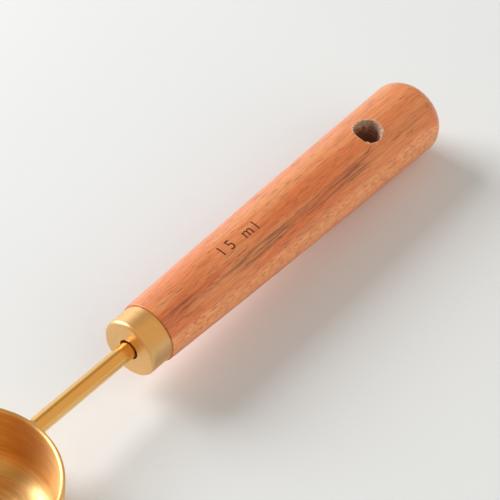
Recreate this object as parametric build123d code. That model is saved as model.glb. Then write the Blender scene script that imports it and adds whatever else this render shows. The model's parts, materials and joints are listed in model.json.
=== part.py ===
from build123d import *
import os
from math import atan, cos, degrees, pi, radians, sin, tan

# Measuring spoon of one tablespoon, 15 ml. A drawn metal bowl is brazed to a round rod, and the
# rod's end is glued into a turned wooden handle, through a metal ferrule. Lengths are millimetres
# and angles are degrees.
#
# Every piece is made in a level frame: X runs along the rod's axis towards the handle's tail, and
# Z is the bowl's own axis. The handle outweighs the bowl, so the spoon tips back until the bowl's
# heel and the tail both touch the table. The last step turns the pieces to that resting pose.

# Bowl
bowl_diameter = 40.0
bowl_depth = 14.4
bowl_wall = 1.0
bowl_draft_angle = 4.0
bowl_heel_radius = 4.5
lip_round_share = 0.47

# Rod and the braze that holds it to the bowl
rod_diameter = 3.8
rod_below_rim = 2.5
stem_length = 27.6
tang_length = 32.0
tang_tip_chamfer = 0.5
braze_leg = 0.5

# Ferrule
ferrule_diameter = 13.2
ferrule_length = 6.0
ferrule_wall = 0.8
ferrule_face = 1.0
ferrule_front_radius = 0.8
ferrule_back_chamfer = 0.15
ferrule_rod_clearance = 0.4

# Handle
handle_length = 92.4
handle_neck_diameter = 13.9
handle_middle_diameter = 16.3
handle_tail_diameter = 17.9
handle_tail_radius = 4.2
handle_neck_chamfer = 0.3
handle_turn_angle = 11.0
hanging_hole_diameter = 6.4
hanging_hole_inset = 20.8
hanging_hole_chamfer = 0.2

# Glue
glue_film = 0.15
tang_glue_gap = 0.4
bore_past_tang = 3.0
drill_point_angle = 118.0

# A round edge is turned in a few flat bands, and the handle's swell in a few straight stretches
heel_bands = 7
small_round_bands = 3
tail_round_bands = 6
handle_stretches = 3

# One overrun serves every cut that passes through a piece
overrun = 2.0

# Sizes worked out from the ones above
bowl_radius = bowl_diameter / 2
bowl_height = bowl_depth + bowl_wall
bowl_draft_slope = tan(radians(bowl_draft_angle))
bowl_inside_radius = bowl_radius - bowl_wall / cos(radians(bowl_draft_angle))
bowl_base_level = rod_below_rim - bowl_height
bowl_outer_heel_radius = bowl_heel_radius + bowl_wall

rod_radius = rod_diameter / 2
inside_bowl_wall = bowl_radius - rod_below_rim * bowl_draft_slope - bowl_wall / 2

ferrule_front = bowl_radius + stem_length
ferrule_back = ferrule_front + ferrule_length
ferrule_radius = ferrule_diameter / 2
ferrule_bore_radius = ferrule_radius - ferrule_wall
ferrule_hole_radius = rod_radius + ferrule_rod_clearance
ferrule_seat = ferrule_front + ferrule_face

tenon_front = ferrule_seat + glue_film
tenon_radius = ferrule_bore_radius - glue_film
handle_tail = ferrule_back + handle_length
tang_tip = tenon_front + tang_length
tang_bore_radius = rod_radius + tang_glue_gap
tang_bore_end = tang_tip + bore_past_tang
drill_point_length = tang_bore_radius / tan(radians(drill_point_angle / 2))


def round_corner(before, corner, after, radius, bands):
    """The outline of a round of one radius in place of a corner, as the ends of flat bands."""
    towards_before = (Vector(*before) - Vector(*corner)).normalized()
    towards_after = (Vector(*after) - Vector(*corner)).normalized()
    half_corner = radians(towards_before.get_angle(towards_after)) / 2
    inward = (towards_before + towards_after).normalized()
    centre = Vector(*corner) + inward * (radius / sin(half_corner))
    half_turn = pi / 2 - half_corner
    across = (towards_after - towards_before).normalized()
    points = []
    for step in range(bands + 1):
        turn = half_turn * (2 * step / bands - 1)
        point = centre + (across * sin(turn) - inward * cos(turn)) * radius
        points.append((point.X, point.Y))
    return points


def turned_about(axis, plane, outline):
    """The solid that an outline sweeps when it is turned about an axis in its plane."""
    return revolve(plane * make_face(Polyline(*outline, close=True)), axis=axis)


def rod_along_x(radius, start, end):
    """A cylinder on the rod's axis, from one place along it to another."""
    flat_end_first = (Align.CENTER, Align.CENTER, Align.MIN)
    return Pos(start, 0, 0) * Cylinder(radius, end - start, rotation=(0, 90, 0), align=flat_end_first)


def cup_outline(rim_radius, floor_level, heel_radius):
    """Half a cup's outline: out along its floor, round its heel and up its drafted wall to the rim."""
    middle = (0, floor_level)
    foot = (rim_radius - (bowl_height - floor_level) * bowl_draft_slope, floor_level)
    rim = (rim_radius, bowl_height)
    return [middle, *round_corner(middle, foot, rim, heel_radius, heel_bands), rim]


def bowl_outside():
    return cup_outline(bowl_radius, 0, bowl_outer_heel_radius)


def bowl_inside():
    return cup_outline(bowl_inside_radius, bowl_wall, bowl_heel_radius)


def make_bowl():
    """The drawn bowl, with one even wall and a lip rounded on both sides."""
    *outside, outer_rim = bowl_outside()
    *inside, inner_rim = bowl_inside()
    lip_radius = lip_round_share * bowl_wall
    outer_lip = round_corner(outside[-1], outer_rim, inner_rim, lip_radius, small_round_bands)
    inner_lip = round_corner(outer_rim, inner_rim, inside[-1], lip_radius, small_round_bands)
    outline = [*outside, *outer_lip, *inner_lip, *reversed(inside)]
    return Pos(0, 0, bowl_base_level) * turned_about(Axis.Z, Plane.XZ, outline)


def bowl_cavity():
    """What the bowl holds when it is level and full."""
    outline = [*bowl_inside(), (0, bowl_height)]
    return turned_about(Axis.Z, Plane.XZ, outline)


def make_rod(bowl):
    """The rod, coped to the bowl's wall at one end and chamfered at the end of its tang."""
    blank = rod_along_x(rod_radius, inside_bowl_wall, tang_tip)
    tip_edge = blank.edges().group_by(Axis.X)[-1]
    return chamfer(tip_edge, tang_tip_chamfer) - bowl


def make_braze(bowl, rod):
    """A concave ring of braze between the rod and the bowl's wall."""
    top = rod_radius + braze_leg
    concave = round_corner(
        (bowl_radius, top),
        (bowl_radius, rod_radius),
        (bowl_radius + braze_leg, rod_radius),
        braze_leg,
        small_round_bands,
    )
    outline = [(inside_bowl_wall, rod_radius), (inside_bowl_wall, top), *concave]
    return turned_about(Axis.X, Plane.XY, outline) - bowl - rod


def make_ferrule():
    """The ferrule, a turned cap with a clear hole for the rod."""
    hole_mouth = (ferrule_front, ferrule_hole_radius)
    front = (ferrule_front, ferrule_radius)
    back = (ferrule_back, ferrule_radius)
    bore_mouth = (ferrule_back, ferrule_bore_radius)
    outline = [
        hole_mouth,
        *round_corner(hole_mouth, front, back, ferrule_front_radius, small_round_bands),
        *round_corner(front, back, bore_mouth, ferrule_back_chamfer, 1),
        bore_mouth,
        (ferrule_seat, ferrule_bore_radius),
        (ferrule_seat, ferrule_hole_radius),
    ]
    return turned_about(Axis.X, Plane.XY, outline)


def handle_radius(share):
    """The handle's radius at a share of its length: a straight taper with a slight swell."""
    neck = handle_neck_diameter / 2
    tail = handle_tail_diameter / 2
    swell = handle_middle_diameter / 2 - (neck + tail) / 2
    return neck + (tail - neck) * share + 4 * swell * share * (1 - share)


def handle_outline():
    """Half the handle's outline: its tenon, its shoulder, its swelling side and its round tail."""
    tenon_end = (tenon_front, tenon_radius)
    shoulder = (ferrule_back, tenon_radius)
    side = []
    for stretch in range(handle_stretches + 1):
        share = stretch / handle_stretches
        side.append((ferrule_back + share * handle_length, handle_radius(share)))
    neck, *stations, tail = side
    tail_middle = (handle_tail, 0)
    neck_edge = round_corner(shoulder, neck, stations[0], handle_neck_chamfer, 1)
    tail_edge = round_corner(stations[-1], tail, tail_middle, handle_tail_radius, tail_round_bands)
    return [(tenon_front, 0), tenon_end, shoulder, *neck_edge, *stations, *tail_edge, tail_middle]


def tang_bore():
    """The drilled hole that the rod's tang is glued into, with its drill point."""
    drill_point = Cone(tang_bore_radius, 0, drill_point_length, rotation=(0, 90, 0))
    drill_point_middle = tang_bore_end + drill_point_length / 2
    straight = rod_along_x(tang_bore_radius, tenon_front, tang_bore_end)
    return straight + Pos(drill_point_middle, 0, 0) * drill_point


def make_handle():
    """The turned handle, with a tenon for the ferrule, the tang's bore and the hanging hole."""
    turned = turned_about(Axis.X, Plane.XY, handle_outline()) - tang_bore()
    drill = Cylinder(hanging_hole_diameter / 2, handle_tail_diameter + overrun)
    drilled = turned - hanging_hole_place() * drill
    mouth_edges = drilled.edges().filter_by(GeomType.BSPLINE)
    return chamfer(mouth_edges, hanging_hole_chamfer)


def hanging_hole_place():
    """The hanging hole's middle and direction, on the handle as it is turned about the rod."""
    return Pos(handle_tail - hanging_hole_inset, 0, 0) * Rot(handle_turn_angle, 0, 0)


def make_ferrule_glue(ferrule, handle):
    """The film of glue between the ferrule and the handle's tenon."""
    filled = rod_along_x(ferrule_bore_radius, ferrule_seat, ferrule_back)
    return filled - rod_along_x(tang_bore_radius, ferrule_seat, ferrule_back) - ferrule - handle


def resting_place():
    """The turn and lift that set the bowl's heel and the tail's edge on the table."""
    bowl_side = [(out, bowl_base_level + up) for out, up in bowl_outside()]
    handle_underside = [(along, -out) for along, out in handle_outline()]
    slope = max(
        min((tail_z - heel_z) / (tail_x - heel_x) for tail_x, tail_z in handle_underside)
        for heel_x, heel_z in bowl_side
    )
    tip = atan(slope)
    lift = max(out * sin(tip) - up * cos(tip) for out, up in bowl_side)
    print("tipped back by", round(degrees(tip), 3), "degrees")
    return Pos(0, 0, lift) * Rot(0, degrees(tip), 0)


bowl = make_bowl()
rod = make_rod(bowl)
braze = make_braze(bowl, rod)
ferrule = make_ferrule()
handle = make_handle()
nodes = {
    "bowl": bowl,
    "stem_rod": rod,
    "braze_joint": braze,
    "ferrule": ferrule,
    "ferrule_glue": make_ferrule_glue(ferrule, handle),
    "handle": handle,
    "tang_glue": tang_bore() - rod,
}

# Set the pieces down in the resting pose, and centre the spoon's length on the origin
resting_pose = resting_place()
resting = {name: resting_pose * piece for name, piece in nodes.items()}
ends = Compound(children=[Compound(piece.solids()) for piece in resting.values()]).bounding_box()
shift_to_middle = -(ends.min.X + ends.max.X) / 2

os.makedirs("parts", exist_ok=True)
for name, piece in resting.items():
    placed = Pos(shift_to_middle, 0, 0) * piece
    placed.label = name
    export_step(placed, f"parts/{name}.step")

print("capacity, level full:", round(bowl_cavity().volume / 1000, 2), "ml")
print("length:", round(ends.max.X - ends.min.X, 2), "height:", round(ends.max.Z, 3), "lowest:", round(ends.min.Z, 4))
print("moved along X by", round(shift_to_middle, 3))
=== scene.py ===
"""A measuring spoon: a brushed metal cup on a thin rod, with a ferrule and a turned wooden handle.

The script builds the spoon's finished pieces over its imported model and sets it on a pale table.
"""

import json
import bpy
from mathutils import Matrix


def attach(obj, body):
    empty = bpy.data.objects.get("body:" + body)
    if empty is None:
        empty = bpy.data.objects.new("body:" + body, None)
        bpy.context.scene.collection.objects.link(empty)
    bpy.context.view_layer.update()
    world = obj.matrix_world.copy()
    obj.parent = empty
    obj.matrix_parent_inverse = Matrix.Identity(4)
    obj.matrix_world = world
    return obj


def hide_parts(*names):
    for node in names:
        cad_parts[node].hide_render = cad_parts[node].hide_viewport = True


bl_info = {
    "name": "Measuring Spoon",
    "version": (1, 0, 0),
    "blender": (4, 5, 0),
    "location": "3D View > Sidebar > Spoon",
    "description": "Builds a measuring spoon's finished pieces and the table that it lies on",
    "category": "Add Mesh",
}

from math import cos, degrees, pi, radians, sin, sqrt, tan

import bmesh
import bpy
from bpy.props import FloatProperty, FloatVectorProperty, IntProperty, PointerProperty, StringProperty
from mathutils import Matrix, Vector, noise

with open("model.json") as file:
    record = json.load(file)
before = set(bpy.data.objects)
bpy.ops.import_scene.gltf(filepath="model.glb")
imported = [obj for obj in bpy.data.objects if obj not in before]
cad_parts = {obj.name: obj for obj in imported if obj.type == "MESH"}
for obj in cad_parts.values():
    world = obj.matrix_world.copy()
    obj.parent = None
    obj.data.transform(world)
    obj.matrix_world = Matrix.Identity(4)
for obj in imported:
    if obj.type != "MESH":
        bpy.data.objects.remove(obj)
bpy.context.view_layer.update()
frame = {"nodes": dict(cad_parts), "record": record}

MM = 0.001
BODY = "root"
SHARP_ANGLE = radians(35)
MERGE_DISTANCE = 0.000001
PATH_RADIUS = 0.0000001
HOLD = 0.12
ROD_TURN = Matrix.Rotation(radians(90), 4, "Y")
BRAZE_STEPS = 8
MARKING_LINES = 12
STATIONS_IN_TAIL_ROUND = 3
HOLE_SIDES = 144
# Each chip in the hole's edge: its bearing and half width in degrees, and its share of the largest
HOLE_CHIPS = ((205, 13, 0.6), (231, 9, 0.9), (318, 16, 0.8), (340, 7, 0.5), (118, 8, 0.45), (62, 10, 0.4))
# How deep the rings of the hole's wall lie under the wood's surface, in millimetres
MOUTH_RINGS = (-1.3, -0.4, -0.12, 0, 0.05, 0.1, 0.16, 0.24, 0.34, 0.5, 0.75)
BORE_RINGS = tuple(1 + 0.35 * ring for ring in range(19))


# The level frame: X runs along the rod from the bowl's middle, and Z is the bowl's own axis


def level_frame(bowl):
    """Where the level frame stands when the spoon lies tipped back on the table."""
    base = next(mount for mount in frame["record"]["mounts"] if mount["name"] == "bowl_base")
    up = -Vector(base["axis"]).normalized()
    across = Vector((0, 1, 0))
    along = across.cross(up)
    height = bowl.depth + bowl.wall - bowl.rod_below_rim
    origin = Vector(base["pos_m"]) + up * height
    axes = Matrix((along, across, up)).transposed().to_4x4()
    return Matrix.Translation(origin) @ axes


# Settings


def length(name, description, default):
    """A size in metres."""
    return FloatProperty(name=name, description=description, default=default, min=0, precision=5, unit="LENGTH")


def angle(name, description, default):
    """An angle, given in degrees."""
    return FloatProperty(name=name, description=description, default=radians(default), unit="ROTATION")


def share(name, description, default):
    """A number from 0 to 1."""
    return FloatProperty(name=name, description=description, default=default, min=0, max=1, subtype="FACTOR")


def number(name, description, default):
    return FloatProperty(name=name, description=description, default=default)


def steps(name, description, default):
    return IntProperty(name=name, description=description, default=default, min=1)


def colour(name, description, default):
    """A linear red, green and blue."""
    return FloatVectorProperty(
        name=name, description=description, default=default, size=3, min=0, max=1, subtype="COLOR"
    )


def place(name, description, default):
    """A point in metres."""
    return FloatVectorProperty(name=name, description=description, default=default, size=3, subtype="TRANSLATION")


class BowlSettings(bpy.types.PropertyGroup):
    """Sizes and colours of the metal cup."""

    diameter: length("Diameter", "Across the rim, outside", 0.040)
    depth: length("Depth", "From the rim down to the floor, inside", 0.0144)
    wall: length("Wall", "Thickness of the metal", 0.001)
    draft: angle("Draft", "How far the wall leans outwards", 4)
    heel_radius: length("Heel radius", "The round between floor and wall, inside", 0.0045)
    lip_share: share("Lip round", "Radius of the lip's rounds, as a share of the wall", 0.47)
    rod_below_rim: length("Rod below rim", "From the rim down to the rod's axis", 0.0025)
    turning_steps: steps("Turning steps", "Faces round the bowl", 192)
    metal: colour("Metal", "The metal's own colour", (0.88, 0.565, 0.235))


class RodSettings(bpy.types.PropertyGroup):
    """Sizes and colours of the rod and its braze."""

    diameter: length("Diameter", "Across the rod", 0.0038)
    stem: length("Stem", "From the bowl's rim to the ferrule", 0.0276)
    tang: length("Tang", "How deep the rod sits in the handle", 0.032)
    tip_round: length("Tip round", "The round at the tang's end", 0.0005)
    braze_leg: length("Braze leg", "How far the braze reaches along the rod", 0.0006)
    braze_waver: length("Braze waver", "How uneven the braze's edge is", 0.00012)
    turning_steps: steps("Turning steps", "Faces round the rod", 96)
    metal: colour("Metal", "The metal's own colour", (0.88, 0.545, 0.20))
    braze_metal: colour("Braze metal", "The braze's own colour", (0.86, 0.64, 0.34))


class FerruleSettings(bpy.types.PropertyGroup):
    """Sizes and colours of the ferrule and the glue behind it."""

    diameter: length("Diameter", "Outside", 0.0132)
    length: length("Length", "Along the rod", 0.006)
    wall: length("Wall", "Thickness of the sleeve", 0.0008)
    face: length("Face", "Thickness of the front", 0.001)
    front_radius: length("Front radius", "The round between front and sleeve", 0.0008)
    back_radius: length("Back radius", "The broken edge against the wood", 0.00015)
    rod_clearance: length("Rod clearance", "Gap round the rod in the front's hole", 0.0004)
    glue_film: length("Glue film", "Thickness of the glue on the tenon", 0.00015)
    tang_glue_gap: length("Tang glue", "Thickness of the glue round the tang", 0.0004)
    turning_steps: steps("Turning steps", "Faces round the ferrule", 160)
    metal: colour("Metal", "The metal's own colour", (0.83, 0.53, 0.235))
    glue: colour("Glue", "Colour of the cured glue", (0.16, 0.08, 0.035))


class HandleSettings(bpy.types.PropertyGroup):
    """Sizes and colours of the turned handle."""

    length: length("Length", "From the ferrule to the tail", 0.0924)
    neck: length("Neck", "Diameter at the ferrule", 0.0139)
    middle: length("Middle", "Diameter half way", 0.0163)
    tail: length("Tail", "Diameter at the tail, before its round", 0.0179)
    tail_radius: length("Tail radius", "The round at the tail", 0.0042)
    neck_radius: length("Neck radius", "The broken edge against the ferrule", 0.0003)
    past_tang: length("Past tang", "How far the bore runs past the tang", 0.003)
    drill_point: angle("Drill point", "Angle of the bore's pointed end", 118)
    turn: angle("Turn", "How far the hole is turned about the rod", 11)
    hole: length("Hole", "Diameter of the hanging hole", 0.0064)
    hole_inset: length("Hole inset", "From the tail to the hole's middle", 0.0208)
    hole_flare: length("Hole flare", "How far the hole's edge is worn back", 0.00012)
    chip: length("Chip", "How far the largest chips reach out from the hole", 0.00035)
    fibre: length("Fibre", "How rough the bored wood is", 0.00009)
    turning_steps: steps("Turning steps", "Faces round the handle", 224)
    stations: steps("Stations", "Rings of faces along the handle", 64)
    wood: colour("Wood", "The main colour of the wood", (0.81, 0.205, 0.062))
    pale_wood: colour("Pale wood", "The lighter streaks", (0.86, 0.31, 0.115))
    dark_wood: colour("Dark wood", "The dark figure", (0.22, 0.07, 0.045))
    pore: colour("Pores", "The fine open pores", (0.28, 0.05, 0.018))
    raw_wood: colour("Raw wood", "Torn fibres at the hole's mouths", (0.92, 0.68, 0.50))
    burnt_wood: colour("Burnt wood", "The marking's scorched floor", (0.13, 0.035, 0.02))


class MarkingSettings(bpy.types.PropertyGroup):
    """The plain capacity marking that is burnt into the handle."""

    words: StringProperty(name="Marking", description="A plain capacity, with no name", default="15 ml")
    height: length("Height", "Height of a figure", 0.0026)
    spacing: number("Spacing", "Letter spacing, where 1 is the font's own", 1.45)
    depth: length("Depth", "How deep the marking is burnt", 0.00018)
    middle: length("Middle", "From the ferrule's back to the marking's middle", 0.027)
    turn: angle("Turn", "How far the marking is turned about the rod", 9)
    slope: number("Slope", "Rise of the marking's line for its length", 0.036)


class StageSettings(bpy.types.PropertyGroup):
    """The camera, the table and the lights."""

    camera_place: place("Camera", "Where the camera stands", (-0.20738, -0.192223, 0.310873))
    camera_aim: place("Aim", "A point that the camera looks at", (0.026905, 0.003106, 0.005151))
    camera_roll: angle("Roll", "How far the camera is rolled", 0.8076)
    lens: number("Lens", "Focal length in millimetres", 143.95)
    sensor: number("Sensor", "Width of the sensor in millimetres", 36)
    table: colour("Table", "The table's own colour", (0.86, 0.85, 0.835))
    table_size: length("Table size", "Length of the table's sides", 6)
    key_direction: place("Key direction", "From the spoon towards the main light", (-0.13, 0.847, 0.515))
    key_distance: length("Key distance", "From the spoon to the main light", 0.9)
    key_size: length("Key size", "Width of the main light", 0.66)
    key_power: number("Key power", "Power of the main light in watts", 9.0)
    key_colour: colour("Key colour", "Colour of the main light", (0.95, 0.975, 1.0))
    fill_direction: place("Fill direction", "From the spoon towards the soft light", (0.18, -0.78, 0.60))
    fill_distance: length("Fill distance", "From the spoon to the soft light", 1.0)
    fill_size: length("Fill size", "Width of the soft light", 1.2)
    fill_power: number("Fill power", "Power of the soft light in watts", 5.0)
    fill_colour: colour("Fill colour", "Colour of the soft light", (1.0, 0.86, 0.73))
    sky: colour("Sky", "Light from all round", (0.235, 0.275, 0.29))
    backdrop: colour("Backdrop", "What the camera sees past the table", (0.95, 0.95, 0.94))
    room_in_metal: colour("Room in metal", "What the metal sees on the camera's side", (0.76, 0.57, 0.34))
    ceiling_in_metal: colour("Ceiling in metal", "What the metal sees between them", (0.33, 0.22, 0.11))
    window_in_metal: colour("Window in metal", "What the metal sees on the light's side", (0.98, 0.95, 0.90))
    ceiling_at: share("Ceiling at", "Where the ceiling's colour is fullest, towards the light's side", 0.45)
    window_at: share("Window at", "Where the window's colour is full, towards the light's side", 0.85)


class SpoonSettings(bpy.types.PropertyGroup):
    """All the spoon's settings."""

    bowl: PointerProperty(type=BowlSettings)
    rod: PointerProperty(type=RodSettings)
    ferrule: PointerProperty(type=FerruleSettings)
    handle: PointerProperty(type=HandleSettings)
    marking: PointerProperty(type=MarkingSettings)
    stage: PointerProperty(type=StageSettings)


# Places along the rod that several pieces share


def ferrule_front(spoon):
    return spoon.bowl.diameter / 2 + spoon.rod.stem


def ferrule_back(spoon):
    return ferrule_front(spoon) + spoon.ferrule.length


def tenon_front(spoon):
    return ferrule_front(spoon) + spoon.ferrule.face + spoon.ferrule.glue_film


def ferrule_bore(spoon):
    return spoon.ferrule.diameter / 2 - spoon.ferrule.wall


def tang_tip(spoon):
    return tenon_front(spoon) + spoon.rod.tang


def hole_middle(spoon):
    return ferrule_back(spoon) + spoon.handle.length - spoon.handle.hole_inset


def bowl_wall_at(spoon, across, up):
    """How far out the bowl's outer wall is, beside the rod's axis."""
    bowl = spoon.bowl
    radius = bowl.diameter / 2 + (up - bowl.rod_below_rim) * tan(bowl.draft)
    return sqrt(radius**2 - across**2)


def handle_radius(spoon, along):
    """The handle's radius at a place along the rod: a straight taper with a slight swell."""
    handle = spoon.handle
    part = (along - ferrule_back(spoon)) / handle.length
    swell = handle.middle / 2 - (handle.neck + handle.tail) / 4
    return (handle.neck + (handle.tail - handle.neck) * part) / 2 + 4 * swell * part * (1 - part)


# Meshes


def finished_object(name, mesh, matrix, node_names):
    """A piece in its place, which stands for its CAD nodes."""
    mesh.transform(matrix)
    mesh.shade_smooth()
    mesh.set_sharp_from_angle(angle=SHARP_ANGLE)
    mesh.name = name
    piece = bpy.data.objects.new(name, mesh)
    bpy.context.scene.collection.objects.link(piece)
    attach(piece, BODY)
    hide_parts(*node_names)
    return piece


def socket_named(tree, name):
    """The identifier of one of a node tree's inputs."""
    return next(item.identifier for item in tree.interface.items_tree if item.name == name)


def turning_tree():
    """Geometry nodes that round an outline's corners and turn it about its own axis."""
    found = bpy.data.node_groups.get("turned_piece")
    if found:
        return found
    tree = bpy.data.node_groups.new("turned_piece", "GeometryNodeTree")
    inputs = {
        "Outline": "NodeSocketGeometry",
        "Turning Steps": "NodeSocketInt",
        "Round Steps": "NodeSocketInt",
        "Finish": "NodeSocketMaterial",
    }
    for name, kind in inputs.items():
        tree.interface.new_socket(name, in_out="INPUT", socket_type=kind)
    tree.interface.new_socket("Piece", in_out="OUTPUT", socket_type="NodeSocketGeometry")

    def add(kind, **values):
        node = tree.nodes.new(kind)
        for name, value in values.items():
            socket = node.inputs[name.replace("_", " ").title()]
            if isinstance(value, bpy.types.NodeSocket):
                tree.links.new(value, socket)
            else:
                socket.default_value = value
        return node

    given = tree.nodes.new("NodeGroupInput").outputs
    corner = tree.nodes.new("GeometryNodeInputNamedAttribute")
    corner.data_type = "FLOAT"
    corner.inputs["Name"].default_value = "corner_radius"
    outline = add("GeometryNodeMeshToCurve", mesh=given["Outline"])
    rounded = tree.nodes.new("GeometryNodeFilletCurve")
    rounded.mode = "POLY"
    tree.links.new(outline.outputs[0], rounded.inputs["Curve"])
    tree.links.new(given["Round Steps"], rounded.inputs["Count"])
    tree.links.new(corner.outputs[0], rounded.inputs["Radius"])
    circle = add("GeometryNodeCurvePrimitiveCircle", resolution=given["Turning Steps"], radius=PATH_RADIUS)
    turned = add("GeometryNodeCurveToMesh", curve=circle.outputs[0], profile_curve=rounded.outputs[0])
    merged = add("GeometryNodeMergeByDistance", geometry=turned.outputs[0], distance=MERGE_DISTANCE)
    real = add("GeometryNodeRealizeInstances", geometry=merged.outputs[0])
    painted = add("GeometryNodeSetMaterial", geometry=real.outputs[0], material=given["Finish"])
    tree.links.new(painted.outputs[0], tree.nodes.new("NodeGroupOutput").inputs[0])
    return tree


def held_outline(outline):
    """An outline with a point just past each end of its rounds, so that the flats beside them shade flat."""
    count = len(outline)
    places = [Vector(point[:2]) for point in outline]

    def side(index, step):
        return places[(index + step) % count] - places[index]

    def reach(index):
        radius = outline[index][2]
        return radius / tan(side(index, -1).angle(side(index, 1)) / 2) if radius else 0

    held = []
    for index, corner in enumerate(outline):
        radius = corner[2]
        near = {}
        for step in (-1, 1):
            way = side(index, step)
            room = way.length - reach(index) - reach((index + step) % count)
            if radius and room > 2 * HOLD * radius:
                point = places[index] + way.normalized() * (reach(index) + HOLD * radius)
                near[step] = (*point, 0)
        held += [near[-1]] if -1 in near else []
        held.append(corner)
        held += [near[1]] if 1 in near else []
    return held


def turned_mesh(outline, finish, turning_steps, round_steps=12, ring=False):
    """The mesh that an outline sweeps about Z. Each of its points is (out, along, corner radius)."""
    source = bpy.data.meshes.new("outline")
    outline = held_outline(outline)
    points = [(out, -along, 0) for out, along, _ in reversed(outline)]
    last = len(points) - 1
    edges = [(point, point + 1) for point in range(last)] + ([(last, 0)] if ring else [])
    source.from_pydata(points, edges, [])
    radii = source.attributes.new("corner_radius", "FLOAT", "POINT")
    radii.data.foreach_set("value", [radius for _, _, radius in reversed(outline)])
    holder = bpy.data.objects.new("outline", source)
    bpy.context.scene.collection.objects.link(holder)
    tree = turning_tree()
    turning = holder.modifiers.new("turning", "NODES")
    turning.node_group = tree
    turning[socket_named(tree, "Turning Steps")] = turning_steps
    turning[socket_named(tree, "Round Steps")] = round_steps
    turning[socket_named(tree, "Finish")] = finish
    shown = holder.evaluated_get(bpy.context.evaluated_depsgraph_get())
    mesh = bpy.data.meshes.new_from_object(shown)
    holder.modifiers.remove(turning)
    bpy.data.objects.remove(holder)
    bpy.data.meshes.remove(source)
    return mesh


def cut(mesh, cutter):
    """A mesh with another cut out of it. The cut faces keep the cutter's material."""
    body = bpy.data.objects.new("body", mesh)
    tool = bpy.data.objects.new("tool", cutter)
    for item in (body, tool):
        bpy.context.scene.collection.objects.link(item)
    modifier = body.modifiers.new("cut", "BOOLEAN")
    modifier.operation = "DIFFERENCE"
    modifier.solver = "EXACT"
    modifier.material_mode = "TRANSFER"
    modifier.object = tool
    shown = body.evaluated_get(bpy.context.evaluated_depsgraph_get())
    result = bpy.data.meshes.new_from_object(shown)
    body.modifiers.remove(modifier)
    for item in (body, tool):
        bpy.data.objects.remove(item)
    return result


# Material recipes


class Recipe:
    """A material's nodes, added one by one."""

    def __init__(self, name):
        self.material = bpy.data.materials.new(name)
        self.material.use_nodes = True
        self.tree = self.material.node_tree
        self.shader = next(node for node in self.tree.nodes if node.type == "BSDF_PRINCIPLED")

    def link(self, socket, value):
        if isinstance(value, bpy.types.NodeSocket):
            self.tree.links.new(value, socket)
        elif socket.type == "RGBA":
            socket.default_value = (*value, 1)
        else:
            socket.default_value = value

    def add(self, kind, sockets, output=0, **options):
        node = self.tree.nodes.new("ShaderNode" + kind)
        for name, value in options.items():
            setattr(node, name, value)
        for name, value in sockets.items():
            self.link(node.inputs[name], value)
        return node.outputs[output]

    def math(self, operation, first, second=0.0):
        return self.add("Math", {0: first, 1: second}, operation=operation)

    def noise(self, vector, detail=2.0, roughness=0.5, distortion=0.0):
        sockets = {
            "Vector": vector,
            "Scale": 1.0,
            "Detail": detail,
            "Roughness": roughness,
            "Distortion": distortion,
        }
        return self.add("TexNoise", sockets)

    def smooth(self, value, low, high, start=0.0, end=1.0):
        """A value carried smoothly from start to end as it goes from low to high."""
        sockets = {"Value": value, "From Min": low, "From Max": high, "To Min": start, "To Max": end}
        return self.add("MapRange", sockets, interpolation_type="SMOOTHSTEP")

    def mix(self, factor, first, second):
        """One colour carried into another."""
        return self.add("Mix", {0: factor, 6: first, 7: second}, output=2, data_type="RGBA")

    def level_place(self, level):
        """Coordinates in the level frame, in millimetres."""
        here = self.add("TexCoord", {}, output=3)
        sockets = {"Vector": here, "Location": level.to_translation(), "Rotation": level.to_euler()}
        placed = self.add("Mapping", sockets, vector_type="TEXTURE")
        return self.add("VectorMath", {0: placed, 3: 1 / MM}, operation="SCALE")

    def apart(self, vector):
        """The three parts of a vector."""
        node = self.tree.nodes.new("ShaderNodeSeparateXYZ")
        self.link(node.inputs[0], vector)
        return node.outputs

    def joined(self, first, second, third):
        return self.add("CombineXYZ", {0: first, 1: second, 2: third})

    def stretched(self, parts, along, out):
        """Coordinates stretched along the rod: one feature is 1/along by 1/out millimetres."""
        first = self.math("MULTIPLY", parts[0], along)
        return self.joined(first, self.math("MULTIPLY", parts[1], out), self.math("MULTIPLY", parts[2], out))

    def bump(self, height, distance, strength=1.0, normal=None):
        sockets = {"Height": height, "Distance": distance, "Strength": strength}
        if normal is not None:
            sockets["Normal"] = normal
        return self.add("Bump", sockets)

    def finish(self, **sockets):
        """Sets the shader's own sockets, and gives the material."""
        for name, value in sockets.items():
            self.link(self.shader.inputs[name.replace("_", " ").title()], value)
        return self.material


# Finishes


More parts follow.
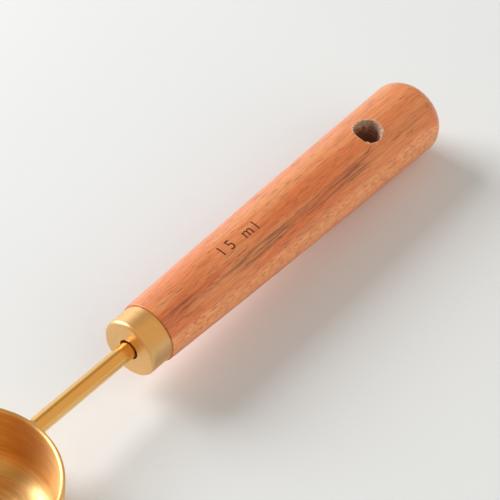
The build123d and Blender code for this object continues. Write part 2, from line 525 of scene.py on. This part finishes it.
def brushed_metal(name, level, metal, axis, roughness, brushed, ring_depth, mottle):
    """Satin metal that is brushed round an axis. Its rings show in its bump, and as mottle in gloss and colour."""
    recipe = Recipe(name)
    here = recipe.apart(recipe.level_place(level))
    first, second, along = (here[0], here[1], here[2]) if axis == "Z" else (here[1], here[2], here[0])
    out = recipe.math("SQRT", recipe.math("ADD", recipe.math("POWER", first, 2), recipe.math("POWER", second, 2)))
    beside_first = recipe.math("DIVIDE", first, recipe.math("MAXIMUM", out, 0.01))
    beside_second = recipe.math("DIVIDE", second, recipe.math("MAXIMUM", out, 0.01))
    path = recipe.math("ADD", out, along)

    def rings(length, fineness):
        first_part = recipe.math("MULTIPLY", beside_first, length)
        second_part = recipe.math("MULTIPLY", beside_second, length)
        return recipe.noise(recipe.joined(first_part, second_part, recipe.math("MULTIPLY", path, fineness)), 3, 0.6)

    fine = rings(5, 9)
    broad = rings(1.3, 1.6)
    blotch = recipe.noise(recipe.stretched(here, 0.09, 0.09), 2)
    shade = recipe.smooth(recipe.math("ADD", fine, broad), 0.75, 1.25, 1 - 0.14 * mottle, 1 + 0.08 * mottle)
    tint = recipe.add("VectorMath", {0: metal, 3: shade}, operation="SCALE")
    deeper = tuple(part * part**0.25 for part in metal)
    coloured = recipe.mix(recipe.smooth(blotch, 0.4, 0.7, 0, 0.35), tint, deeper)
    duller, brighter = roughness * (1 - 0.15 * mottle), roughness * (1 + 0.15 * mottle)
    gloss = recipe.smooth(recipe.math("ADD", fine, broad), 0.7, 1.3, duller, brighter)
    turn = (beside_second, beside_first)
    minus = recipe.math("MULTIPLY", turn[0], -1)
    grain = recipe.joined(minus, turn[1], 0.0) if axis == "Z" else recipe.joined(0.0, minus, turn[1])
    return recipe.finish(
        base_color=coloured,
        metallic=1.0,
        roughness=gloss,
        anisotropic=brushed,
        anisotropic_rotation=0.25,
        tangent=grain,
        normal=recipe.bump(fine, ring_depth),
    )


def brazed_metal(level, metal):
    """Braze that was filed over by hand: brighter and less even than the rod."""
    recipe = Recipe("braze_metal")
    here = recipe.apart(recipe.level_place(level))
    lumps = recipe.noise(recipe.stretched(here, 1.6, 1.6), 3)
    fine = recipe.noise(recipe.stretched(here, 9, 9), 2)
    dull = tuple(part * 0.72 for part in metal)
    return recipe.finish(
        base_color=recipe.mix(recipe.smooth(lumps, 0.42, 0.62, 0, 0.8), metal, dull),
        metallic=1.0,
        roughness=recipe.smooth(fine, 0.3, 0.7, 0.26, 0.42),
        normal=recipe.bump(lumps, 0.00006, normal=recipe.bump(fine, 0.000004)),
    )


def cured_glue(name, colour, level):
    """Amber glue, cured with a few bubbles."""
    recipe = Recipe(name)
    here = recipe.apart(recipe.level_place(level))
    bubbles = recipe.noise(recipe.stretched(here, 2.2, 2.2), 2)
    paler = tuple(min(part * 1.7, 1) for part in colour)
    return recipe.finish(
        base_color=recipe.mix(recipe.smooth(bubbles, 0.45, 0.65), colour, paler),
        roughness=recipe.smooth(bubbles, 0.3, 0.7, 0.22, 0.4),
        normal=recipe.bump(bubbles, 0.00004),
    )


def finished_wood(spoon, level):
    """Oiled reddish wood: streaks, a dark figure, a band of flecks, open pores, the hole's torn rim, paler wood
    towards the tail, and a painted highlight on its top and its lamp's side.
    """
    handle = spoon.handle
    recipe = Recipe("oiled_wood")
    here = recipe.apart(recipe.level_place(level))
    around = recipe.math("ARCTAN2", recipe.math("MULTIPLY", here[1], -1), here[2])
    along = here[0]

    def band(start, full, end, gone):
        """1 inside a band round the handle, given in degrees from the top, and 0 outside it."""
        rise = recipe.smooth(around, radians(start), radians(full))
        return recipe.math("MULTIPLY", rise, recipe.smooth(around, radians(end), radians(gone), 1, 0))

    def dip(middle, reach):
        """1 near a place along the handle, and 0 away from it."""
        apart = recipe.math("ABSOLUTE", recipe.math("SUBTRACT", along, middle))
        return recipe.smooth(apart, reach * 0.3, reach, 1, 0)

    waver = recipe.noise(recipe.stretched(here, 0.05, 0.1), 2)
    around = recipe.math("ADD", around, recipe.smooth(waver, 0.3, 0.7, -0.09, 0.09))
    broad = recipe.noise(recipe.stretched(here, 0.022, 0.30), 3, 0.55, 0.3)
    streaks = recipe.noise(recipe.stretched(here, 0.07, 1.9), 4, 0.6)
    fine = recipe.noise(recipe.stretched(here, 0.2, 7.5), 3, 0.65)
    shade = recipe.mix(recipe.smooth(broad, 0.42, 0.6), handle.wood, handle.pale_wood)
    deeper = tuple(part * scale for part, scale in zip(handle.wood, (0.72, 0.6, 0.6)))
    shade = recipe.mix(recipe.smooth(streaks, 0.5, 0.68, 0, 0.45), shade, deeper)
    # The wood grows paler towards the tail, and a painted highlight makes the top and the lamp's side of the handle
    # paler.
    paler_towards_tail = recipe.smooth(along, 95, 140, 0, 0.45)
    painted_highlight_lit_side = recipe.math("MULTIPLY", band(-75, -35, -5, 12), 0.4)
    shade = recipe.mix(recipe.math("MAXIMUM", paler_towards_tail, painted_highlight_lit_side), shade, handle.pale_wood)

    places = recipe.math("MAXIMUM", dip(58, 9), recipe.math("MAXIMUM", dip(83, 14), dip(109, 16)))
    figure = recipe.math("MULTIPLY", band(28, 36, 46, 56), recipe.smooth(places, 0, 1, 0.25, 1))
    figure = recipe.math("MULTIPLY", figure, recipe.smooth(streaks, 0.44, 0.6, 0.2, 1))
    shade = recipe.mix(recipe.math("MULTIPLY", figure, 0.72), shade, handle.dark_wood)

    fleck_place = recipe.joined(
        recipe.math("ADD", recipe.math("MULTIPLY", along, 0.75), recipe.math("MULTIPLY", around, 3.2)),
        recipe.math("MULTIPLY", around, 30),
        recipe.math("MULTIPLY", along, 0.1),
    )
    flecks = recipe.smooth(recipe.noise(fleck_place, 2, 0.5), 0.52, 0.6)
    golden = recipe.mix(flecks, tuple(min(part * 1.35, 1) for part in handle.pale_wood), handle.wood)
    shade = recipe.mix(recipe.math("MULTIPLY", band(66, 78, 100, 112), 0.9), shade, golden)

    tone = recipe.smooth(fine, 0.32, 0.68, 1.12, 0.84)
    shade = recipe.add("VectorMath", {0: shade, 3: tone}, operation="SCALE")
    pores = recipe.noise(recipe.stretched(here, 0.22, 7.5), 2, 0.5)
    open_pores = recipe.smooth(pores, 0.61, 0.69)
    shade = recipe.mix(recipe.math("MULTIPLY", open_pores, 0.88), shade, handle.pore)

    beside_hole = recipe.math("SUBTRACT", along, hole_middle(spoon) / MM)
    turned_y = recipe.math("MULTIPLY", here[1], cos(handle.turn))
    across_hole = recipe.math("ADD", turned_y, recipe.math("MULTIPLY", here[2], sin(handle.turn)))
    squares = [recipe.math("POWER", part, 2) for part in (beside_hole, across_hole)]
    from_hole = recipe.math("SQRT", recipe.math("ADD", squares[0], squares[1]))
    ragged = recipe.smooth(recipe.noise(recipe.stretched(here, 0.9, 3.2), 3), 0.3, 0.7, -0.45, 0.45)
    hole_radius = handle.hole / 2 / MM
    torn_rim = recipe.smooth(recipe.math("ADD", from_hole, ragged), hole_radius + 0.05, hole_radius + 0.35, 0.6, 0)
    shade = recipe.mix(torn_rim, shade, handle.raw_wood)
    hollow = recipe.math("MULTIPLY", open_pores, -1)
    return recipe.finish(
        base_color=shade,
        roughness=recipe.smooth(fine, 0.3, 0.7, 0.36, 0.48),
        coat_weight=0.35,
        coat_roughness=0.3,
        normal=recipe.bump(hollow, 0.00005, 0.8, recipe.bump(fine, 0.000012)),
    )


def bored_wood(level, handle):
    """Unfinished wood inside the hanging hole: pale torn fibres near its mouths, and painted shade that darkens it
    deeper in.
    """
    recipe = Recipe("bored_wood")
    here = recipe.apart(recipe.level_place(level))
    fibres = recipe.noise(recipe.stretched(here, 0.35, 4.5), 4, 0.65)
    lumps = recipe.noise(recipe.stretched(here, 0.9, 0.9), 2)
    # Painted shade: a darkened copy of the raw wood, for the hole's depth.
    darkened = tuple(part * scale for part, scale in zip(handle.raw_wood, (0.34, 0.15, 0.10)))
    out = recipe.math("SQRT", recipe.math("ADD", recipe.math("POWER", here[1], 2), recipe.math("POWER", here[2], 2)))
    out = recipe.math("ADD", out, recipe.smooth(lumps, 0.3, 0.7, -1.1, 1.1))
    # Painted shade by depth: pale near the hole's mouths, darker deeper in.
    mouth = recipe.smooth(out, 4.4, 7.6, 0.1, 1)
    torn = recipe.math("MULTIPLY", mouth, recipe.smooth(fibres, 0.4, 0.6, 1, 0.15))
    shade = recipe.mix(torn, darkened, handle.raw_wood)
    return recipe.finish(
        base_color=shade,
        roughness=recipe.smooth(fibres, 0.3, 0.7, 0.72, 0.92),
        normal=recipe.bump(fibres, 0.00012),
    )


def burnt_wood(level, handle):
    """The scorched floor of the burnt marking."""
    recipe = Recipe("burnt_wood")
    here = recipe.apart(recipe.level_place(level))
    char = recipe.noise(recipe.stretched(here, 2.5, 5), 3)
    lighter = tuple(min(part * 2.6, 1) for part in handle.burnt_wood)
    return recipe.finish(
        base_color=recipe.mix(recipe.smooth(char, 0.45, 0.7), handle.burnt_wood, lighter),
        roughness=recipe.smooth(char, 0.3, 0.7, 0.5, 0.7),
        normal=recipe.bump(char, 0.00003),
    )


def pale_table(table):
    """A smooth pale table top, with the faintest change of tone."""
    recipe = Recipe("pale_table")
    here = recipe.add("TexCoord", {}, output=3)
    broad = recipe.noise(recipe.add("VectorMath", {0: here, 3: 6.0}, operation="SCALE"), 2)
    tone = recipe.smooth(broad, 0.3, 0.7, 0.99, 1.01)
    shade = recipe.add("VectorMath", {0: table, 3: tone}, operation="SCALE")
    return recipe.finish(base_color=shade, roughness=0.9)


# Pieces


def build_bowl(spoon):
    """The drawn cup: one even wall with a flat floor, a round heel and a rounded lip."""
    bowl = spoon.bowl
    level = level_frame(bowl)
    slope = tan(bowl.draft)
    base = bowl.rod_below_rim - bowl.depth - bowl.wall
    floor = base + bowl.wall
    rim = bowl.rod_below_rim
    outside = bowl.diameter / 2
    inside = outside - bowl.wall / cos(bowl.draft)
    lip = bowl.lip_share * bowl.wall
    outline = [
        (0, base, 0),
        (outside - (rim - base) * slope, base, bowl.heel_radius + bowl.wall),
        (outside, rim, lip),
        (inside, rim, lip),
        (inside - (rim - floor) * slope, floor, bowl.heel_radius),
        (0, floor, 0),
    ]
    finish = brushed_metal("bowl_metal", level, tuple(bowl.metal), "Z", 0.38, 0.87, 0.0000018, 1)
    mesh = turned_mesh(outline, finish, bowl.turning_steps, 16)
    return finished_object("spoon_bowl", mesh, level, ["bowl"])


def build_rod(spoon):
    """The rod, fitted to the bowl's round wall, and its tang inside the handle."""
    rod = spoon.rod
    level = level_frame(spoon.bowl)
    radius = rod.diameter / 2
    start = bowl_wall_at(spoon, 0, 0)
    tip = tang_tip(spoon)
    outline = [(0, start, 0), (radius, start, 0), (radius, tip, rod.tip_round), (0, tip, 0)]
    finish = brushed_metal("rod_metal", level, tuple(rod.metal), "X", 0.24, 0.1, 0.0000001, 0.12)
    mesh = turned_mesh(outline, finish, rod.turning_steps, 4)
    mesh.transform(ROD_TURN)
    for vertex in mesh.vertices:
        if vertex.co.x < start + MERGE_DISTANCE:
            vertex.co.x = bowl_wall_at(spoon, vertex.co.y, vertex.co.z)
    return finished_object("spoon_rod", mesh, level, ["stem_rod"])


def build_braze(spoon):
    """A concave ring of braze that follows the bowl's wall round the rod, with an uneven edge."""
    rod = spoon.rod
    level = level_frame(spoon.bowl)
    radius = rod.diameter / 2
    leg = rod.braze_leg
    buried = leg / 4
    outline = [(radius - buried, leg - buried / 2, 0)]
    for step in range(BRAZE_STEPS + 1):
        turn = step / BRAZE_STEPS * pi / 2
        outline.append((radius + leg * (1 - cos(turn)), leg * (1 - sin(turn)), 0))
    outline += [(radius + leg, -buried, 0), (radius - buried, -buried, 0)]
    finish = brazed_metal(level, tuple(rod.braze_metal))
    mesh = turned_mesh(outline, finish, rod.turning_steps, 1, ring=True)
    mesh.transform(ROD_TURN)
    for vertex in mesh.vertices:
        along, across, up = vertex.co
        out = sqrt(across**2 + up**2)
        round_place = Vector((across, up, 0)).normalized() * 1.7
        spread = 1 + rod.braze_waver / leg * noise.noise(round_place)
        out = radius + (out - radius) * spread
        direction = Vector((across, up)).normalized() * out
        wall = bowl_wall_at(spoon, direction.x, direction.y)
        vertex.co = (wall + along * spread, direction.x, direction.y)
    return finished_object("spoon_braze", mesh, level, ["braze_joint"])


def build_ferrule(spoon):
    """The turned ferrule, with the clear hole that the rod passes through."""
    ferrule = spoon.ferrule
    level = level_frame(spoon.bowl)
    front = ferrule_front(spoon)
    back = ferrule_back(spoon)
    outside = ferrule.diameter / 2
    hole = spoon.rod.diameter / 2 + ferrule.rod_clearance
    bore = ferrule_bore(spoon)
    seat = front + ferrule.face
    outline = [
        (hole, front, ferrule.back_radius),
        (outside, front, ferrule.front_radius),
        (outside, back, ferrule.back_radius),
        (bore, back, 0),
        (bore, seat, 0),
        (hole, seat, 0),
    ]
    finish = brushed_metal("ferrule_metal", level, tuple(ferrule.metal), "X", 0.4, 0.2, 0.0000004, 0.35)
    mesh = turned_mesh(outline, finish, ferrule.turning_steps, 10, ring=True)
    mesh.transform(ROD_TURN)
    return finished_object("spoon_ferrule", mesh, level, ["ferrule"])


def paint_glue(spoon):
    """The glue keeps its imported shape, and gets its finish."""
    level = level_frame(spoon.bowl)
    finish = cured_glue("cured_glue", tuple(spoon.ferrule.glue), level)
    for name in ("ferrule_glue", "tang_glue"):
        for slot in frame["nodes"][name].material_slots:
            slot.material = finish


def hole_cutter(spoon, finish):
    """What the drill takes out of the handle: a bore with torn fibres, a worn mouth and small chips."""
    handle = spoon.handle
    middle = hole_middle(spoon)
    turn = Matrix.Rotation(handle.turn, 4, "X")
    drill_radius = handle.hole / 2
    depths = [depth * MM for depth in MOUTH_RINGS + BORE_RINGS]
    rows = []
    for face in (1, -1):
        rings = []
        for depth in depths:
            ring = []
            for side in range(HOLE_SIDES):
                bearing = 2 * pi * side / HOLE_SIDES
                worn = max(0, 1 - max(depth, 0) / (0.4 * MM)) ** 2 * handle.hole_flare
                chipped = 0
                for place, width, size in HOLE_CHIPS:
                    off = abs((degrees(bearing) * face - place + 180) % 360 - 180) / width
                    if off < 1:
                        chipped = max(chipped, size * handle.chip * (1 - off**2) ** 2)
                chipped *= max(0, 1 - max(depth, 0) / (0.45 * MM))
                spot = Vector((cos(bearing), sin(bearing), 0)) * drill_radius
                rough = noise.noise(Vector((spot.x * 700, spot.y * 4200, (depth * face) * 4200)))
                torn = min(1, max(0, depth) / (0.5 * MM)) * handle.fibre * rough
                out = drill_radius + worn + chipped + torn
                across = out * sin(bearing)
                surface = handle_radius(spoon, middle + out * cos(bearing))
                height = sqrt(surface**2 - across**2) - depth
                ring.append(turn @ Vector((middle + out * cos(bearing), across, face * height)))
            rings.append(ring)
        rows += rings if face == 1 else reversed(rings)
    drill = bmesh.new()
    grid = [[drill.verts.new(point) for point in ring] for ring in rows]
    for upper, lower in zip(grid, grid[1:]):
        for side in range(HOLE_SIDES):
            after = (side + 1) % HOLE_SIDES
            drill.faces.new((upper[side], lower[side], lower[after], upper[after]))
    drill.faces.new(grid[0])
    drill.faces.new(reversed(grid[-1]))
    mesh = bpy.data.meshes.new("drill")
    drill.to_mesh(mesh)
    drill.free()
    mesh.materials.append(finish)
    return mesh


def marking_cutter(spoon, finish):
    """The plain capacity marking, laid on the handle's round side and sunk into it."""
    marking = spoon.marking
    words = bpy.data.curves.new("marking", "FONT")
    words.body = marking.words
    words.space_character = marking.spacing
    words.extrude = 0.1
    words.resolution_u = 6
    words.align_x = "CENTER"
    holder = bpy.data.objects.new("marking", words)
    bpy.context.scene.collection.objects.link(holder)
    shown = holder.evaluated_get(bpy.context.evaluated_depsgraph_get())
    mesh = bpy.data.meshes.new_from_object(shown)
    bpy.data.objects.remove(holder)
    bpy.data.curves.remove(words)
    heights = [vertex.co.y for vertex in mesh.vertices]
    low, high = min(heights), max(heights)
    scale = marking.height / (high - low)
    letters = bmesh.new()
    letters.from_mesh(mesh)
    bmesh.ops.remove_doubles(letters, verts=letters.verts, dist=0.0005)
    for line in range(1, MARKING_LINES):
        level_line = low + (high - low) * line / MARKING_LINES
        everything = [*letters.verts, *letters.edges, *letters.faces]
        bmesh.ops.bisect_plane(letters, geom=everything, plane_co=(0, level_line, 0), plane_no=(0, 1, 0))
    middle = ferrule_back(spoon) + marking.middle
    for vertex in letters.verts:
        across, up, through = vertex.co
        along = across * scale
        rise = (up - (low + high) / 2) * scale
        radius = handle_radius(spoon, middle + along)
        turn = marking.turn + marking.slope * along / radius - rise / radius
        out = radius + (marking.depth if through > 0 else -marking.depth)
        vertex.co = (middle + along, -out * sin(turn), out * cos(turn))
    letters.to_mesh(mesh)
    letters.free()
    mesh.materials.clear()
    mesh.materials.append(finish)
    return mesh


def build_handle(spoon):
    """The turned handle: tenon, tang's bore, swelling side, round tail, hanging hole and marking."""
    handle = spoon.handle
    level = level_frame(spoon.bowl)
    front = ferrule_back(spoon)
    tail = front + handle.length
    tenon = ferrule_bore(spoon) - spoon.ferrule.glue_film
    bore = spoon.rod.diameter / 2 + spoon.ferrule.tang_glue_gap
    bore_end = tang_tip(spoon) + handle.past_tang
    drill_point = bore / tan(handle.drill_point / 2)
    gap = handle.length / handle.stations
    stations = [front + gap * ring for ring in range(1, handle.stations - STATIONS_IN_TAIL_ROUND)]
    side = [(handle_radius(spoon, along), along, 0) for along in stations]
    outline = [
        (0, bore_end + drill_point, 0),
        (bore, bore_end, 0),
        (bore, tenon_front(spoon), 0),
        (tenon, tenon_front(spoon), 0),
        (tenon, front, 0),
        (handle.neck / 2, front, handle.neck_radius),
        *side,
        (handle.tail / 2, tail, handle.tail_radius),
        (0, tail, 0),
    ]
    mesh = turned_mesh(outline, finished_wood(spoon, level), handle.turning_steps, 16)
    mesh.transform(ROD_TURN)
    mesh = cut(mesh, hole_cutter(spoon, bored_wood(level, handle)))
    mesh = cut(mesh, marking_cutter(spoon, burnt_wood(level, handle)))
    return finished_object("spoon_handle", mesh, level, ["handle"])


# The camera, the table and the lights


def looking(start, direction, roll=0.0):
    """The matrix of a camera or a lamp that looks in a direction."""
    facing = direction.to_track_quat("-Z", "Y").to_matrix().to_4x4()
    return Matrix.Translation(start) @ facing @ Matrix.Rotation(roll, 4, "Z")


def build_stage(spoon):
    """The camera at the photograph's angle, the pale table, a main lamp and a soft warm one."""
    stage = spoon.stage
    scene = bpy.context.scene
    scene.view_settings.view_transform = "Standard"

    lens = bpy.data.cameras.new("camera")
    lens.lens = stage.lens
    lens.sensor_width = stage.sensor
    lens.clip_start = 0.01
    camera = bpy.data.objects.new("camera", lens)
    scene.collection.objects.link(camera)
    start = Vector(stage.camera_place)
    camera.matrix_world = looking(start, Vector(stage.camera_aim) - start, -stage.camera_roll)
    scene.camera = camera

    half = stage.table_size / 2
    corners = [(-half, -half, 0), (half, -half, 0), (half, half, 0), (-half, half, 0)]
    sheet = bpy.data.meshes.new("table")
    sheet.from_pydata(corners, [], [(0, 1, 2, 3)])
    sheet.materials.append(pale_table(tuple(stage.table)))
    table = bpy.data.objects.new("table", sheet)
    scene.collection.objects.link(table)

    for name in ("key", "fill"):
        light = bpy.data.lights.new(name, "AREA")
        light.shape = "DISK"
        light.size = getattr(stage, name + "_size")
        light.energy = getattr(stage, name + "_power")
        light.color = getattr(stage, name + "_colour")
        lamp = bpy.data.objects.new(name, light)
        scene.collection.objects.link(lamp)
        direction = Vector(getattr(stage, name + "_direction")).normalized()
        lamp.matrix_world = looking(direction * getattr(stage, name + "_distance"), -direction)
        lamp.visible_glossy = name == "key"


def build_surround(spoon):
    """The world: light from all round, a pale backdrop, and what the metal reflects."""
    stage = spoon.stage
    world = bpy.data.worlds.new("studio")
    world.use_nodes = True
    tree = world.node_tree

    def mixed(factor, first, second):
        node = tree.nodes.new("ShaderNodeMix")
        node.data_type = "RGBA"
        tree.links.new(factor, node.inputs[0])
        for socket, value in ((node.inputs[6], first), (node.inputs[7], second)):
            if isinstance(value, bpy.types.NodeSocket):
                tree.links.new(value, socket)
            else:
                socket.default_value = (*value, 1)
        return node.outputs[2]

    direction = tree.nodes.new("ShaderNodeTexCoord")
    apart = tree.nodes.new("ShaderNodeSeparateXYZ")
    tree.links.new(direction.outputs["Generated"], apart.inputs[0])
    in_metal = tree.nodes.new("ShaderNodeValToRGB")
    tree.links.new(apart.outputs[1], in_metal.inputs[0])
    stops = in_metal.color_ramp.elements
    stops[1].position = stage.window_at
    stops.new(stage.ceiling_at)
    for stop, reflected in zip(stops, (stage.room_in_metal, stage.ceiling_in_metal, stage.window_in_metal)):
        stop.color = (*reflected, 1)

    path = tree.nodes.new("ShaderNodeLightPath")
    lighting = mixed(path.outputs["Is Glossy Ray"], stage.sky, in_metal.outputs[0])
    seen = mixed(path.outputs["Is Camera Ray"], lighting, stage.backdrop)
    background = next(node for node in tree.nodes if node.type == "BACKGROUND")
    tree.links.new(seen, background.inputs["Color"])
    bpy.context.scene.world = world


# Operators, panel and registration


class SPOON_OT_add_stage(bpy.types.Operator):
    """Adds the camera, the table and the lights"""

    bl_idname = "spoon.add_stage"
    bl_label = "Add Stage"

    def execute(self, context):
        build_stage(context.scene.spoon)
        build_surround(context.scene.spoon)
        return {"FINISHED"}


class SPOON_OT_add_bowl(bpy.types.Operator):
    """Adds the metal cup"""

    bl_idname = "spoon.add_bowl"
    bl_label = "Add Bowl"

    def execute(self, context):
        build_bowl(context.scene.spoon)
        return {"FINISHED"}


class SPOON_OT_add_rod(bpy.types.Operator):
    """Adds the rod and the braze that joins it to the bowl"""

    bl_idname = "spoon.add_rod"
    bl_label = "Add Rod"

    def execute(self, context):
        build_rod(context.scene.spoon)
        build_braze(context.scene.spoon)
        return {"FINISHED"}


class SPOON_OT_add_ferrule(bpy.types.Operator):
    """Adds the ferrule, and finishes the glue that holds it"""

    bl_idname = "spoon.add_ferrule"
    bl_label = "Add Ferrule"

    def execute(self, context):
        build_ferrule(context.scene.spoon)
        paint_glue(context.scene.spoon)
        return {"FINISHED"}


class SPOON_OT_add_handle(bpy.types.Operator):
    """Adds the wooden handle, with its hanging hole and its marking"""

    bl_idname = "spoon.add_handle"
    bl_label = "Add Handle"

    def execute(self, context):
        build_handle(context.scene.spoon)
        return {"FINISHED"}


OPERATORS = (
    SPOON_OT_add_stage,
    SPOON_OT_add_bowl,
    SPOON_OT_add_rod,
    SPOON_OT_add_ferrule,
    SPOON_OT_add_handle,
)


class SPOON_PT_sidebar(bpy.types.Panel):
    """The spoon's operators and sizes"""

    bl_idname = "SPOON_PT_sidebar"
    bl_label = "Measuring Spoon"
    bl_space_type = "VIEW_3D"
    bl_region_type = "UI"
    bl_category = "Spoon"

    def draw(self, context):
        for operator in OPERATORS:
            self.layout.operator(operator.bl_idname)
        spoon = context.scene.spoon
        for group in spoon.bl_rna.properties:
            if group.type != "POINTER" or group.identifier == "rna_type":
                continue
            box = self.layout.box()
            box.label(text=group.identifier.title())
            settings = getattr(spoon, group.identifier)
            for name in settings.__annotations__:
                box.prop(settings, name)


CLASSES = (
    BowlSettings,
    RodSettings,
    FerruleSettings,
    HandleSettings,
    MarkingSettings,
    StageSettings,
    SpoonSettings,
    *OPERATORS,
    SPOON_PT_sidebar,
)


def register():
    for item in CLASSES:
        bpy.utils.register_class(item)
    bpy.types.Scene.spoon = PointerProperty(type=SpoonSettings)


def unregister():
    del bpy.types.Scene.spoon
    for item in reversed(CLASSES):
        bpy.utils.unregister_class(item)


def main():
    register()
    bpy.ops.spoon.add_stage()
    bpy.ops.spoon.add_bowl()
    bpy.ops.spoon.add_rod()
    bpy.ops.spoon.add_ferrule()
    bpy.ops.spoon.add_handle()


if __name__ == "__main__":
    main()
